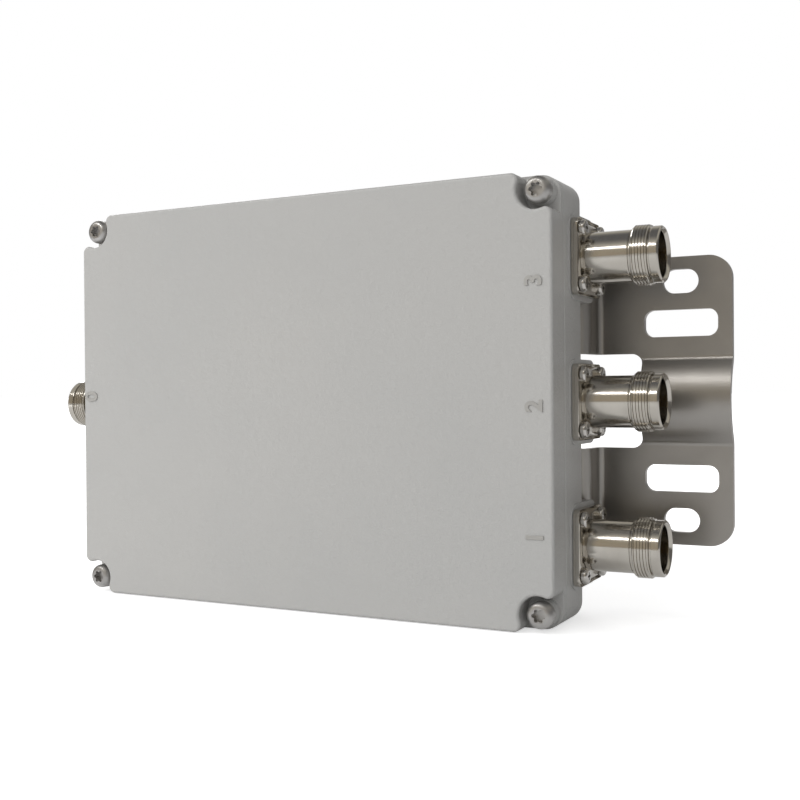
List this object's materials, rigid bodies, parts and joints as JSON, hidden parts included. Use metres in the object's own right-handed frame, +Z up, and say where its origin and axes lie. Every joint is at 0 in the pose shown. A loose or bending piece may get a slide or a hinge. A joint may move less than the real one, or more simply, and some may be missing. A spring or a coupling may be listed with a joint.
{
  "type": "rf combiner",
  "caption": "Outdoor cavity combiner: a cast grey box with screw-type coaxial jacks on its ends and a folded steel mounting bracket behind it.",
  "frame": {"origin": "bottom centre of the bounding box, on the surface that the lower long side stands on", "axes": "+X towards the three band ports, -Y out of the front cover, +Y towards the wall or pole, +Z up"},
  "size_m": [0.284, 0.0576, 0.147],
  "materials": {
    "painted_grey": "satin",
    "screw_steel": "satin",
    "jack_plating": "polished",
    "contact_gold": "gloss",
    "insulator_white": "satin",
    "seal_rubber": "matte",
    "silver_plating": "satin",
    "tuning_brass": "satin",
    "sheet_steel": "satin"
  },
  "bodies": {
    "root": {"front_cover": "painted_grey", "housing": "painted_grey", "cover_screws": "screw_steel", "bracket_screws": "screw_steel", "bracket_washers": "screw_steel", "tuning_plate_screws": "screw_steel", "resonator_screws": "screw_steel", "port_1_screws": "screw_steel", "port_2_screws": "screw_steel", "port_3_screws": "screw_steel", "port_common_screws": "screw_steel", "port_1_body": "jack_plating", "port_2_body": "jack_plating", "port_3_body": "jack_plating", "port_common_body": "jack_plating", "port_1_contact": "contact_gold", "port_2_contact": "contact_gold", "port_3_contact": "contact_gold", "port_common_contact": "contact_gold", "port_1_insulator": "insulator_white", "port_2_insulator": "insulator_white", "port_3_insulator": "insulator_white", "port_common_insulator": "insulator_white", "cover_gasket": "seal_rubber", "port_1_seal": "seal_rubber", "port_2_seal": "seal_rubber", "port_3_seal": "seal_rubber", "port_common_seal": "seal_rubber", "tuning_plate": "silver_plating", "resonators_low": "silver_plating", "resonators_mid": "silver_plating", "resonators_high": "silver_plating", "junction_bar": "silver_plating", "tap_1": "silver_plating", "tap_2": "silver_plating", "tap_3": "silver_plating", "tuning_screws_low": "tuning_brass", "tuning_screws_mid": "tuning_brass", "tuning_screws_high": "tuning_brass", "tuning_nuts": "tuning_brass", "bracket": "sheet_steel"}
  },
  "joints": []
}
